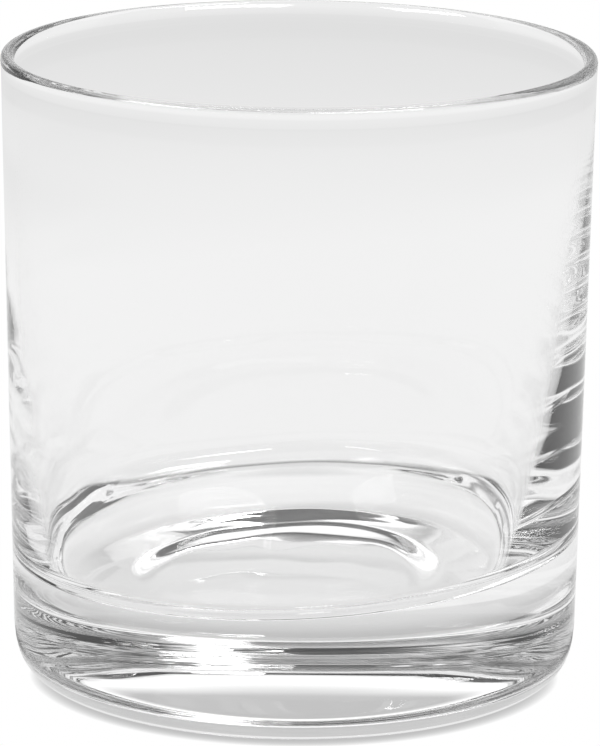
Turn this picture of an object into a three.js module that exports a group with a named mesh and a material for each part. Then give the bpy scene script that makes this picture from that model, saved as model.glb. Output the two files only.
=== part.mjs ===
// Whisky tumbler: one piece of clear glass with a tapered wall, a fire-polished lip and a heavy base.
// Millimetres, +Z up. The origin is the centre of the foot, on the surface that the glass stands on.
import * as THREE from "three";

// Driving dimensions
const height = 90; // standing surface to the top of the lip
const mouthDiameter = 83.9; // outer wall carried up to the top of the lip
const footDiameter = 80; // outer wall carried down to the standing surface, before the heel is rounded
const lipThickness = 2.0; // diameter of the full round along the lip
const wallThickness = 2.0; // wall at the level where it starts to thicken
const thickensBelow = 58; // that level
const wallCurve = 250; // radius of the inner wall below it, where it closes in towards the floor
const baseThickness = 15.8; // glass under the middle of the inner floor
const floorCurve = 260; // radius of the shallow dish of the inner floor
const floorFillet = 5; // inner curve between the floor and the wall
const heelRadius = 6; // outer curve between the wall and the foot
const standingRing = 5; // width of the flat ring that the glass stands on
const pushUp = 2.6; // rise of the hollow underside inside that ring

// Fineness of the facets
const facetsAround = 96;
const arcDivisions = 4; // each arc of the profile gets twice as many facets

// The profile lies in the half plane of radius (x) and height (y).
const footRadius = footDiameter / 2;
const mouthRadius = mouthDiameter / 2;
const taper = Math.atan2(mouthRadius - footRadius, height);
const outerWallAt = (level) => footRadius + level * Math.tan(taper);

// A circle that touches the inside of the outer wall and has its centre at the given level.
function circleInsideWall(level, radius) {
  const centre = new THREE.Vector2(outerWallAt(level) - radius / Math.cos(taper), level);
  return { centre, radius };
}
const heel = circleInsideWall(heelRadius, heelRadius);
const lip = circleInsideWall(height - lipThickness / 2, lipThickness / 2);

// Above the level where the wall starts to thicken, its inside is straight and runs into the lip's round.
const straightFoot = new THREE.Vector2(outerWallAt(thickensBelow) - wallThickness, thickensBelow);
const towardsLip = lip.centre.clone().sub(straightFoot);
const innerSlope = towardsLip.angle() + Math.asin(lip.radius / towardsLip.length());
const alongInnerWall = new THREE.Vector2(Math.cos(innerSlope), Math.sin(innerSlope));
const towardsAxis = new THREE.Vector2(-alongInnerWall.y, alongInnerWall.x);

// Below that level it is a long arc. The floor is a shallow dish, and the fillet lies inside both circles.
const wallCurveCentre = straightFoot.clone().addScaledVector(towardsAxis, wallCurve);
const dishCentre = new THREE.Vector2(0, baseThickness + floorCurve);
const fromWallToDish = dishCentre.clone().sub(wallCurveCentre);
const between = fromWallToDish.length();
const fromWallCentre = wallCurve - floorFillet;
const fromDishCentre = floorCurve - floorFillet;
const along = (fromWallCentre ** 2 - fromDishCentre ** 2 + between ** 2) / (2 * between);
const across = Math.sqrt(fromWallCentre ** 2 - along ** 2);
const direction = fromWallToDish.clone().normalize();
const outward = new THREE.Vector2(direction.y, -direction.x);
const filletCentre = wallCurveCentre.clone().addScaledVector(direction, along).addScaledVector(outward, across);
const wallEdge = filletCentre.clone().sub(wallCurveCentre).angle();
const floorEdge = filletCentre.clone().sub(dishCentre).angle();

// The underside is a shallow cap inside the standing ring.
const ringInnerRadius = heel.centre.x - standingRing;
const capRadius = (ringInnerRadius ** 2 + pushUp ** 2) / (2 * pushUp);
const capEdge = Math.acos(ringInnerRadius / capRadius);

const quarterTurn = Math.PI / 2;
const profile = new THREE.Path();
profile.absarc(0, pushUp - capRadius, capRadius, quarterTurn, capEdge, true);
profile.absarc(heel.centre.x, heel.centre.y, heel.radius, -quarterTurn, -taper, false);
profile.absarc(lip.centre.x, lip.centre.y, lip.radius, -taper, innerSlope + quarterTurn, false);
profile.absarc(wallCurveCentre.x, wallCurveCentre.y, wallCurve, innerSlope - quarterTurn, wallEdge, true);
profile.absarc(filletCentre.x, filletCentre.y, floorFillet, wallEdge, floorEdge, true);
profile.absarc(dishCentre.x, dishCentre.y, floorCurve, floorEdge, -quarterTurn, true);

const geometry = new THREE.LatheGeometry(profile.getPoints(arcDivisions), facetsAround);
geometry.rotateX(quarterTurn);

const clearGlass = new THREE.MeshStandardMaterial({
  color: 0xf2f5f4,
  roughness: 0.02,
  metalness: 0,
  transparent: true,
  opacity: 0.35,
});

const tumbler = new THREE.Mesh(geometry, clearGlass);
tumbler.name = "tumbler";

const whiskyGlass = new THREE.Group();
whiskyGlass.add(tumbler);

export default whiskyGlass;
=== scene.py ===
"""Whisky tumbler of clear glass on a white table: the dressed model, its camera and its light."""

import math

import bmesh
import bpy
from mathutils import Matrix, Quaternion, Vector, noise


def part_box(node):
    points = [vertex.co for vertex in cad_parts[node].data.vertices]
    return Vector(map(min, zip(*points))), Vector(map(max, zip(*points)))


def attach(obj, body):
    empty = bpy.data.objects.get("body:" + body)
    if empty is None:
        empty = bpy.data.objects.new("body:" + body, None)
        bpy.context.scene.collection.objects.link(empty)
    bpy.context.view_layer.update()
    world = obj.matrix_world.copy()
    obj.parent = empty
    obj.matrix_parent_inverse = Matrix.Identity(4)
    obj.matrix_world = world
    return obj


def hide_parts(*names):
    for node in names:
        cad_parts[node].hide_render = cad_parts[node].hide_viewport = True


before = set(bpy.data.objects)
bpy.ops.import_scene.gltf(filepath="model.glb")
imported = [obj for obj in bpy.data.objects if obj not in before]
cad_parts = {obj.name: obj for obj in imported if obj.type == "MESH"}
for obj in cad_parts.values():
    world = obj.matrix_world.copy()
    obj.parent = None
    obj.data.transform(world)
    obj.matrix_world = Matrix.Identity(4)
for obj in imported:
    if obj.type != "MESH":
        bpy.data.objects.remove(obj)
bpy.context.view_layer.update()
rim_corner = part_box("tumbler")[1]

MM = 0.001

# Outside of the glass in millimetres, as in the solid
HEIGHT = rim_corner.z / MM
MOUTH_RADIUS = 41.95  # outer wall carried up to the top of the lip
FOOT_RADIUS = 40.0  # outer wall carried down to the table, before the heel is rounded
TAPER = (MOUTH_RADIUS - FOOT_RADIUS) / HEIGHT
HEEL = 6.0  # round between the wall and the foot
RING = 5.0  # width of the flat ring that the glass stands on
RING_INSIDE = FOOT_RADIUS - HEEL - RING

# Lip and neck
LIP = 2.1  # thickness below the sloping inner edge
LIP_TOP = 1.5  # width of the top before its edges are rounded
LIP_SLOPE = 1.2  # height of the sloping inner edge
LIP_ROUND = 0.9
SLOPE_ROUND = 3.0
NECK = 2.0  # thickness of the neck
NECK_DROP = 3.0  # neck below the top of the lip
NECK_INSET = 0.08  # how far the neck draws in from the straight outer wall
NECK_ROUND = 6.0

# Inner wall and floor
WALL = 2.0
WALL_TOP_DROP = 5.5  # top of the even wall, below the top of the lip
WALL_TOP_ROUND = 12.0
THICKENS_BELOW = 80.0  # level where the wall starts to close in
THICKENING = 3.6  # how far it has closed in at the floor
CLOSING_POWER = 2.7  # makes it close in slowly at first, and most of all near the floor
BASE = 15.7  # level of the middle of the floor
FLOOR_CURVE = 260.0  # radius of the floor's shallow dish
FLOOR_FILLET = 3.4
FILLET_REACH = 0.83  # share of the fillet's radius that it takes from the floor
SKIN = 1.0  # inner points lie at least this far inside the outer wall

# Heel, which is an oval at the back and has its own round at the front
HEEL_BACK = 12.0  # height of the oval
HEEL_BACK_REACH = 9.5  # its width
HEEL_TURNS = (-0.3, 0.8)  # sines of the angle around the axis between which the round becomes the oval
HEEL_WAVE = 0.4  # unevenness of its height
HEEL_WAVE_LENGTH = 22.0

# Hollow underside: a low dome, and a soft step around its middle
HOLLOW_MIDDLE = Vector((0, -1))
HOLLOW_RADIUS = 25.0
HOLLOW_CURVE = 600.0  # radius of the dome
HOLLOW_STEP = 0.7  # height of the step
HOLLOW_EDGE = 6.0  # width of the step

# The inside set a little out of true: the floor leans, and its middle lies to the left of the axis
FLOOR_RISE_RIGHT = math.tan(math.radians(2.4))
FLOOR_RISE_BACK = math.tan(math.radians(1.7))
FLOOR_SHIFT = -1.3
TRUE_ABOVE = 76.0  # level above which the inside is true
LEANS_BELOW = 22.0  # level below which it leans in full

# Ripples in the inner skin, long around the wall and short up it, and stronger on the left
RIPPLE_AROUND = 15.0
RIPPLE_UP = 5.0
LEFT_SIDE = (-20.0, -36.0)  # where the left side begins, and where it is left in full
RIPPLES = [
    # finer by, height, more height on the left, level where it begins, level where it is full
    (1.0, 0.03, 0.13, 70, 52),
    (2.2, 0.012, 0.04, 55, 30),
]
FLOOR_RADIUS = 33.0  # inside this the skin ripples upwards, and outside it sideways
FLOOR_RIPPLE = 0.2  # share of the ripple that is left on the floor

# Rings that the set glass left on the floor
RINGS_MIDDLE = Vector((4, -3))
RINGS_HEIGHT = 0.03
RINGS_SPACING = 8.5
RINGS_FADE = (26.0, 16.0)  # radius where they end, and where they are full

# Fineness of the turned mesh: the inside is finer, because its ripples show in the refraction
STEPS_AROUND = 256
INSIDE_SPACING = 0.7
OUTSIDE_SPACING = 2.0
LONGEST_FACET = 4.0  # longer lines of the profile are divided
MERGED_WITHIN = 0.005


def linear(code):
    """An sRGB hex colour such as F4F6F5 as a linear RGBA colour."""
    parts = [int(code[i:i + 2], 16) / 255 for i in (0, 2, 4)]
    return [c / 12.92 if c <= 0.04045 else ((c + 0.055) / 1.055) ** 2.4 for c in parts] + [1.0]


def add(tree, kind, links=None, **settings):
    """A node with its settings; links gives its inputs, each as a value or as another node's output."""
    node = tree.nodes.new(kind)
    for name, value in settings.items():
        setattr(node, name, value)
    for socket, value in (links or {}).items():
        if isinstance(value, bpy.types.NodeSocket):
            tree.links.new(value, node.inputs[socket])
        else:
            node.inputs[socket].default_value = value
    return node


def new_material(name):
    """An empty material and its node tree."""
    material = bpy.data.materials.new(name)
    material.use_nodes = True
    material.node_tree.nodes.clear()
    return material, material.node_tree


def new_object(name, bm, material):
    """The bmesh as a smooth object with one material."""
    mesh = bpy.data.meshes.new(name)
    bm.to_mesh(mesh)
    bm.free()
    mesh.shade_smooth()
    mesh.materials.append(material)
    obj = bpy.data.objects.new(name, mesh)
    bpy.context.scene.collection.objects.link(obj)
    return obj


def smooth_step(low, high, value):
    """0 at low and before it, 1 at high and past it, and a smooth change between them."""
    t = min(max((value - low) / (high - low), 0.0), 1.0)
    return t * t * (3 - 2 * t)


def outer_wall(level):
    """Radius of the straight outer wall at a level."""
    return FOOT_RADIUS + TAPER * level


# Glass

STREAK_HEIGHT = 5.0  # size of the streaks up the wall
STREAK_SQUEEZE = 0.3  # around the wall they are longer by one over this
STREAK_DEPTH = 0.005
STREAKS_FADE = (60.0, 32.0)  # level where the streaks begin, and where they are full
STREAKS_END = (12.0, 18.0)  # level of the base that has none, and of the wall above it


def soda_lime_glass():
    """Soda-lime glass, pressed and fire-polished."""
    # To the eye it is clear, without colour and mirror smooth, and its form shows where it bends the light.
    # Shallow streaks in the lower wall draw the fine lines in its refraction and leave the gloss alone.
    material, tree = new_material("soda_lime_glass")
    place = add(tree, "ShaderNodeTexCoord").outputs["Object"]
    squeeze = (STREAK_SQUEEZE, STREAK_SQUEEZE, 1)
    stretched = add(tree, "ShaderNodeMapping", {"Vector": place, "Scale": squeeze})
    streaks = add(tree, "ShaderNodeTexNoise", {
        "Vector": stretched.outputs[0],
        "Scale": 1 / (STREAK_HEIGHT * MM),
        "Detail": 1.0,
    })
    level = add(tree, "ShaderNodeSeparateXYZ", {0: place}).outputs["Z"]
    height = streaks.outputs[0]
    for none, full in (STREAKS_FADE, STREAKS_END):
        mask = add(tree, "ShaderNodeMapRange", {
            "Value": level,
            "From Min": none * MM,
            "From Max": full * MM,
        })
        masked = add(tree, "ShaderNodeMath", {0: height, 1: mask.outputs[0]}, operation="MULTIPLY")
        height = masked.outputs[0]
    bump = add(tree, "ShaderNodeBump", {
        "Height": height,
        "Strength": 1.0,
        "Distance": STREAK_DEPTH * MM,
    })
    surface = add(tree, "ShaderNodeBsdfPrincipled", {
        "Normal": bump.outputs[0],
        "Base Color": linear("FFFFFF"),
        "Roughness": 0.0,
        "IOR": 1.52,
        "Transmission Weight": 1.0,
    })
    add(tree, "ShaderNodeOutputMaterial", {"Surface": surface.outputs["BSDF"]})
    return material


def round_corner(bm, vert, radius, segments):
    """Rounds one corner of the profile to a radius in millimetres."""
    a, b = [edge.other_vert(vert).co - vert.co for edge in vert.link_edges]
    reach = radius * MM / math.tan(a.angle(b) / 2)
    bmesh.ops.bevel(bm, geom=[vert], offset=reach, offset_type="OFFSET", affect="VERTICES",
                    segments=segments, profile=0.5, material=-1)


def tumbler_profile():
    """Half of the cut glass, from the middle of the underside round the lip to the middle of the floor."""
    neck_level = HEIGHT - NECK_DROP
    neck_outside = outer_wall(neck_level) - NECK_INSET
    wall_top = HEIGHT - WALL_TOP_DROP
    inner_top = outer_wall(wall_top) - WALL
    wall_start = outer_wall(THICKENS_BELOW) - WALL
    inner_slope = (inner_top - wall_start) / (wall_top - THICKENS_BELOW)
    inner_low = wall_start + inner_slope * (BASE - THICKENS_BELOW)

    # The floor starts as a straight slope that meets the straight inner wall in a corner.
    floor_edge = inner_low - FLOOR_FILLET * FILLET_REACH
    floor_slope = floor_edge / FLOOR_CURVE
    floor_middle = BASE - floor_edge ** 2 / (2 * FLOOR_CURVE)
    corner_radius = (inner_low + inner_slope * (floor_middle - BASE)) / (1 - inner_slope * floor_slope)
    corner_level = floor_middle + floor_slope * corner_radius

    corners = [
        # radius, level, and the round of the corner with its number of facets
        (0, 0, 0, 0),
        (RING_INSIDE, 0, 0, 0),
        (FOOT_RADIUS, 0, HEEL, 20),
        (neck_outside, neck_level, NECK_ROUND, 8),
        (MOUTH_RADIUS, HEIGHT, LIP_ROUND, 8),
        (MOUTH_RADIUS - LIP_TOP, HEIGHT, LIP_ROUND, 8),
        (MOUTH_RADIUS - LIP, HEIGHT - LIP_SLOPE, SLOPE_ROUND, 8),
        (neck_outside - NECK, neck_level, NECK_ROUND, 6),
        (inner_top, wall_top, WALL_TOP_ROUND, 6),
        (corner_radius, corner_level, FLOOR_FILLET, 24),
        (0, floor_middle, 0, 0),
    ]
    bm = bmesh.new()
    verts = [bm.verts.new((radius * MM, 0, level * MM)) for radius, level, _, _ in corners]
    for a, b in zip(verts, verts[1:]):
        bm.edges.new((a, b))
    for vert, (_, _, rounding, facets) in zip(verts, corners):
        if facets:
            round_corner(bm, vert, rounding, facets)

    for edge in [e for e in bm.edges if e.calc_length() > LONGEST_FACET * MM]:
        middle = (edge.verts[0].co + edge.verts[1].co) / 2 / MM
        spacing = INSIDE_SPACING if middle.x < FOOT_RADIUS - SKIN else OUTSIDE_SPACING
        cuts = round(edge.calc_length() / (spacing * MM))
        bmesh.ops.subdivide_edges(bm, edges=[edge], cuts=cuts)

    # The floor becomes a dish, and the inner wall closes in towards it.
    for vert in bm.verts:
        radius = vert.co.x / MM
        level = vert.co.z / MM
        if level > BASE / 2 and radius < floor_edge:
            vert.co.z = (BASE + radius ** 2 / (2 * FLOOR_CURVE)) * MM
            vert.co.x *= 1 - THICKENING / floor_edge
        elif BASE / 2 < level < THICKENS_BELOW and radius < wall_start:
            down = (THICKENS_BELOW - level) / (THICKENS_BELOW - BASE - FLOOR_FILLET / 2)
            vert.co.x -= THICKENING * min(down, 1) ** CLOSING_POWER * MM
    return bm


def fuller_heel_behind(bm):
    """Draws the round of the heel out to a larger oval at the back, as a heel that sagged in the mould."""
    for vert in bm.verts:
        radius = vert.co.xy.length / MM
        level = vert.co.z / MM
        behind = smooth_step(*HEEL_TURNS, vert.co.y / MM / max(radius, 1))
        wave = HEEL_WAVE * noise.noise(vert.co.xy.to_3d() / (HEEL_WAVE_LENGTH * MM))
        tall = HEEL + (HEEL_BACK - HEEL + wave) * behind
        reach = HEEL + (HEEL_BACK_REACH - HEEL) * behind
        centre = FOOT_RADIUS - reach
        if level < tall and radius > centre:
            turn = math.atan2((radius - centre) / reach, 1 - level / tall)
            vert.co.xy *= (centre + reach * math.sin(turn)) / radius
            vert.co.z = tall * (1 - math.cos(turn)) * MM


def hollow_underside(bm):
    """Hollows the underside a little off the axis, with a soft step, inside the standing ring."""
    for vert in bm.verts:
        if vert.co.z < BASE / 2 * MM and vert.co.xy.length / MM < RING_INSIDE:
            off_middle = (vert.co.xy / MM - HOLLOW_MIDDLE).length
            dome = max(HOLLOW_RADIUS ** 2 - off_middle ** 2, 0) / (2 * HOLLOW_CURVE)
            step = HOLLOW_STEP * smooth_step(HOLLOW_RADIUS, HOLLOW_RADIUS - HOLLOW_EDGE, off_middle)
            vert.co.z = (dome + step) * MM


def uneven_inside(bm):
    """Leans and shifts the inside, as it set in the mould, and adds its ripples and the floor's rings."""
    for vert in bm.verts:
        radius = vert.co.xy.length / MM
        level = vert.co.z / MM
        if level > BASE / 2 and radius < outer_wall(level) - SKIN:
            lean = min(max((TRUE_ABOVE - level) / (TRUE_ABOVE - LEANS_BELOW), 0.0), 1.0)
            vert.co.z += lean * (FLOOR_RISE_RIGHT * vert.co.x + FLOOR_RISE_BACK * vert.co.y)
            vert.co.x += lean * FLOOR_SHIFT * MM
            left = smooth_step(*LEFT_SIDE, vert.co.x / MM)
            x, y, z = vert.co / MM
            spot = Vector((x / RIPPLE_AROUND, y / RIPPLE_AROUND, z / RIPPLE_UP))
            ripple = 0.0
            for finer, height, more_left, begins, full in RIPPLES:
                strength = (height + more_left * left) * smooth_step(begins, full, level)
                ripple += noise.noise(spot * finer) * strength
            if radius > FLOOR_RADIUS:
                vert.co.xy *= 1 + ripple / radius
            else:
                ring = (vert.co.xy / MM - RINGS_MIDDLE).length
                waves = math.cos(ring * 2 * math.pi / RINGS_SPACING) * smooth_step(*RINGS_FADE, ring)
                vert.co.z += (ripple * FLOOR_RIPPLE + waves * RINGS_HEIGHT) * MM


def tumbler(material):
    """The glass: its profile turned about the axis, then given the slight unevenness of poured glass."""
    bm = tumbler_profile()
    bmesh.ops.spin(bm, geom=bm.verts[:] + bm.edges[:], cent=(0, 0, 0), axis=(0, 0, 1), dvec=(0, 0, 0),
                   angle=2 * math.pi, steps=STEPS_AROUND, use_merge=True)
    bmesh.ops.remove_doubles(bm, verts=bm.verts[:], dist=MERGED_WITHIN * MM)
    bmesh.ops.recalc_face_normals(bm, faces=bm.faces[:])
    fuller_heel_behind(bm)
    hollow_underside(bm)
    uneven_inside(bm)
    bm.normal_update()
    return new_object("tumbler_glass", bm, material)


# Table

TABLE_RADIUS = 3000.0
TABLE_DROP = 0.02  # keeps the table clear of the standing ring
CONTACT_REACH = 1.4  # gap under the heel that is shut off from the light
CONTACT_TONE = 0.5  # darkest tone of the painted shade there, to the eye
CONTACT_TONE_IN_GLASS = 0.84  # and of the painted shade through the glass
NEAR, NEAR_TONE = 250.0, 0.89  # painted shade of the table close to the glass, seen through it
FAR, FAR_TONE = 550.0, 0.74  # and far from it, where the painted shade is darker
SHADOW_TONE = 0.3  # darkest tone of the painted shadow of the glass around its foot, seen through it
SHADOW_BEGINS, SHADOW_DARKEST, SHADOW_ENDS = 43.0, 46.0, 50.0  # radii of that painted shadow


def white_table():
    """A round table top of matt white laminate."""
    # To the eye it is an even white without gloss, and only the line under the heel is grey with a painted
    # shade.
    # Through the glass it is a little darker, with a painted shade that deepens away from the glass, and
    # most of all in the thin painted shadow around the foot.
    material, tree = new_material("matt_white_laminate")
    ray = add(tree, "ShaderNodeLightPath").outputs
    to_eye = ray["Is Camera Ray"]
    seen = to_eye
    for kind in ("Is Glossy Ray", "Is Transmission Ray"):
        seen = add(tree, "ShaderNodeMath", {0: seen, 1: ray[kind]}, operation="MAXIMUM").outputs[0]

    # Painted shade: ambient occlusion darkens the white where the heel shuts off the light
    open_sky = add(tree, "ShaderNodeAmbientOcclusion", {"Distance": CONTACT_REACH * MM}, samples=8)
    darkest = add(tree, "ShaderNodeMix", {0: to_eye, 2: CONTACT_TONE_IN_GLASS, 3: CONTACT_TONE})
    painted_contact_shade = add(tree, "ShaderNodeMapRange", {
        "Value": open_sky.outputs["AO"],
        "To Min": darkest.outputs[0],
    }).outputs[0]

    place = add(tree, "ShaderNodeTexCoord").outputs["Object"]
    reach = add(tree, "ShaderNodeVectorMath", {0: place}, operation="LENGTH").outputs["Value"]
    # Painted shade: the table seen through the glass darkens with distance from it
    distant_shade = add(tree, "ShaderNodeMapRange", {
        "Value": reach,
        "From Min": NEAR * MM,
        "From Max": FAR * MM,
        "To Min": NEAR_TONE,
        "To Max": FAR_TONE,
    }).outputs[0]
    # Painted shadow: a thin dark ring on the table around the foot, seen only through the glass
    outwards = add(tree, "ShaderNodeMapRange", {
        "Value": reach,
        "From Min": SHADOW_DARKEST * MM,
        "From Max": SHADOW_ENDS * MM,
        "To Min": SHADOW_TONE,
    }).outputs[0]
    inwards = add(tree, "ShaderNodeMapRange", {
        "Value": reach,
        "From Min": SHADOW_DARKEST * MM,
        "From Max": SHADOW_BEGINS * MM,
    }).outputs[0]
    shadow = add(tree, "ShaderNodeMath", {0: outwards, 1: inwards}, operation="MAXIMUM")
    in_glass = add(tree, "ShaderNodeMath", {0: distant_shade, 1: shadow.outputs[0]}, operation="MULTIPLY")
    tone = add(tree, "ShaderNodeMix", {0: to_eye, 2: in_glass.outputs[0], 3: 1.0})
    bright = add(tree, "ShaderNodeMath", {0: painted_contact_shade, 1: tone.outputs[0]}, operation="MULTIPLY")
    white = add(tree, "ShaderNodeEmission", {"Color": linear("FFFFFF"), "Strength": bright.outputs[0]})
    matt = add(tree, "ShaderNodeBsdfDiffuse", {"Color": linear("F0F0F0")})
    both = add(tree, "ShaderNodeMixShader", {0: seen, 1: matt.outputs[0], 2: white.outputs[0]})
    add(tree, "ShaderNodeOutputMaterial", {"Surface": both.outputs[0]})

    bm = bmesh.new()
    bmesh.ops.create_circle(bm, cap_ends=True, segments=64, radius=TABLE_RADIUS * MM)
    bmesh.ops.translate(bm, verts=bm.verts[:], vec=(0, 0, -TABLE_DROP * MM))
    table = new_object("table_top", bm, material)


# Light

# Tones of the studio at sines of the height angle, from level to overhead
SWEEP = [(0.0, 0.74), (0.07, 0.7), (0.2, 0.57), (0.4, 0.55),
         (0.5, 1.3), (0.86, 1.3), (0.9, 0.03), (1.0, 0.03)]
ROOM = [(0.0, 0.8), (0.08, 0.4), (0.3, 0.04), (1.0, 0.03)]
ROOM_MEETS_SWEEP = (-0.05, 0.1)  # along Y, from the room to the sweep
FILL = 0.6  # even light on matt surfaces
LIGHTS_AIM = Vector((0, 0, 0.05))
BOUNCES = 48  # light turns many times in the thick base before it leaves


def studio_world():
    """A white sweep behind the glass, brightest above it, and a dark room in front and overhead."""
    world = bpy.data.worlds.new("studio")
    bpy.context.scene.world = world
    world.use_nodes = True
    tree = world.node_tree
    tree.nodes.clear()
    ray = add(tree, "ShaderNodeLightPath").outputs
    seen = ray["Is Camera Ray"]
    for kind in ("Is Glossy Ray", "Is Transmission Ray"):
        seen = add(tree, "ShaderNodeMath", {0: seen, 1: ray[kind]}, operation="MAXIMUM").outputs[0]
    towards = add(tree, "ShaderNodeTexCoord").outputs["Generated"]
    axes = add(tree, "ShaderNodeSeparateXYZ", {0: towards}).outputs
    tones = []
    for stops in (ROOM, SWEEP):
        ramp = add(tree, "ShaderNodeValToRGB", {0: axes["Z"]})
        elements = ramp.color_ramp.elements
        while len(elements) < len(stops):
            elements.new(0.5)
        for element, (height, grey) in zip(elements, stops):
            element.position = height
            element.color = (grey, grey, grey, 1)
        tones.append(ramp.outputs["Color"])
    room, sweep = tones
    side = add(tree, "ShaderNodeMapRange", {
        "Value": axes["Y"],
        "From Min": ROOM_MEETS_SWEEP[0],
        "From Max": ROOM_MEETS_SWEEP[1],
    }, interpolation_type="SMOOTHSTEP")
    view = add(tree, "ShaderNodeMix", {"Factor": side.outputs[0], 6: room, 7: sweep}, data_type="RGBA")
    shown = add(tree, "ShaderNodeBackground", {"Color": view.outputs[2], "Strength": 1.0})
    plain = add(tree, "ShaderNodeBackground", {"Color": linear("FFFFFF"), "Strength": FILL})
    both = add(tree, "ShaderNodeMixShader", {0: seen, 1: plain.outputs[0], 2: shown.outputs[0]})
    add(tree, "ShaderNodeOutputWorld", {"Surface": both.outputs[0]})


def softbox(name, place, width, height, radiance, through_glass):
    """A rectangular soft light at a place in metres, turned to the glass, and seen through it or not."""
    lamp = bpy.data.lights.new(name, "AREA")
    lamp.shape = "RECTANGLE"
    lamp.size = width
    lamp.size_y = height
    lamp.energy = radiance * math.pi * width * height
    obj = bpy.data.objects.new(name, lamp)
    obj.location = place
    obj.rotation_mode = "QUATERNION"
    obj.rotation_quaternion = (LIGHTS_AIM - Vector(place)).to_track_quat("-Z", "Y")
    obj.visible_transmission = through_glass
    bpy.context.scene.collection.objects.link(obj)


# Camera, fitted to the outline of the glass

IMAGE_HEIGHT = 746  # pixels, the longer side of the image
FOCAL_LENGTH = 5908.1  # in the same pixels
AIM_RIGHT = 3.56  # pixels from the middle of the glass to the middle of the image
AIM_DOWN = 9.64
DISTANCE = 839.3  # millimetres from the middle of the glass
HEIGHT_ANGLE = math.radians(13.625)  # camera above the level
ROLL = 0.00887  # radians
SENSOR = 36  # millimetres along the longer side


def photograph_camera():
    """The photograph's view: a long lens, a little above the rim and rolled by half a degree."""
    middle = Vector((0, 0, HEIGHT / 2 * MM))
    back = Vector((0, -math.cos(HEIGHT_ANGLE), math.sin(HEIGHT_ANGLE)))
    up = Vector((0, math.sin(HEIGHT_ANGLE), math.cos(HEIGHT_ANGLE)))
    pixel = DISTANCE * MM / FOCAL_LENGTH
    aim = middle + Vector((AIM_RIGHT * pixel, 0, 0)) - up * (AIM_DOWN * pixel)
    data = bpy.data.cameras.new("photograph_camera")
    data.sensor_width = SENSOR
    data.lens = SENSOR * FOCAL_LENGTH / IMAGE_HEIGHT
    data.clip_start = 0.01
    data.clip_end = 20
    camera = bpy.data.objects.new("photograph_camera", data)
    camera.location = middle + back * (DISTANCE * MM)
    camera.rotation_mode = "QUATERNION"
    turn = (aim - camera.location).to_track_quat("-Z", "Y")
    camera.rotation_quaternion = turn @ Quaternion((0, 0, 1), ROLL)
    bpy.context.scene.collection.objects.link(camera)
    bpy.context.scene.camera = camera


glass = tumbler(soda_lime_glass())
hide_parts("tumbler")
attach(glass, "root")

white_table()
studio_world()
softbox("left_softbox", (-0.92, -0.49, 0.95), width=0.75, height=0.45, radiance=8, through_glass=False)
softbox("right_softbox", (0.52, -0.9, 0.95), width=0.95, height=0.45, radiance=8, through_glass=False)
softbox("top_softbox", (0.38, 0.05, 1.1), width=0.2, height=0.42, radiance=9, through_glass=True)
photograph_camera()

scene = bpy.context.scene
scene.view_settings.view_transform = "Standard"
scene.cycles.max_bounces = BOUNCES
scene.cycles.transmission_bounces = BOUNCES
scene.cycles.glossy_bounces = BOUNCES
